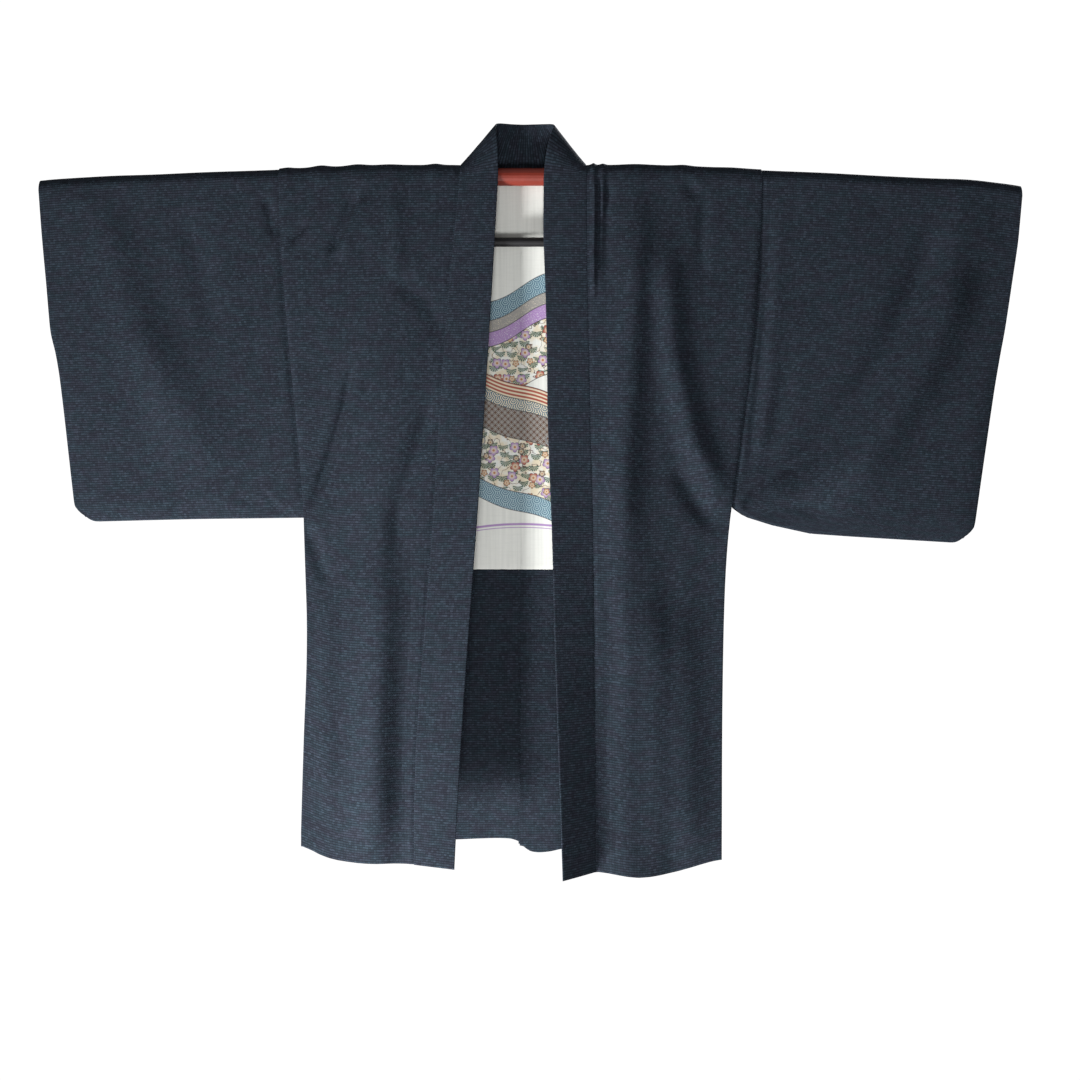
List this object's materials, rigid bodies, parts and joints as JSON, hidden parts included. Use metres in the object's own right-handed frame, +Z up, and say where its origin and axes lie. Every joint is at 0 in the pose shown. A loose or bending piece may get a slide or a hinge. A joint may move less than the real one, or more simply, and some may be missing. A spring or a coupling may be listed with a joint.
{
  "type": "haori jacket on a hanger rod",
  "caption": "Man's haori jacket with wide square sleeves and a straight open collar band, hung spread out on a round rod with a thin lower bar",
  "frame": {"origin": "the middle of the hanger rod's axis, where the rod is held", "axes": "+X to the viewer's right, +Z up, the jacket's front faces -Y"},
  "size_m": [1.3556, 0.1381, 1.038],
  "materials": {
    "outer_cloth": "matte navy woven cloth with a fine small-dash grid",
    "lining_silk": null,
    "loop_cord": "matte grey twisted cord",
    "red_lacquer": "glossy dark red",
    "black_lacquer": "glossy black"
  },
  "bodies": {
    "root": {"body_left": "outer_cloth", "body_right": "outer_cloth", "sleeve_left": "outer_cloth", "sleeve_right": "outer_cloth", "gusset_left": "outer_cloth", "gusset_right": "outer_cloth", "facing_left": "outer_cloth", "facing_right": "outer_cloth", "collar": "outer_cloth", "lining_left": "lining_silk", "lining_right": "lining_silk", "tie_loop_left": "loop_cord", "tie_loop_right": "loop_cord", "hanger_rod": "red_lacquer", "hanger_bar": "black_lacquer", "hanger_link_left": "black_lacquer", "hanger_link_right": "black_lacquer"}
  },
  "joints": []
}
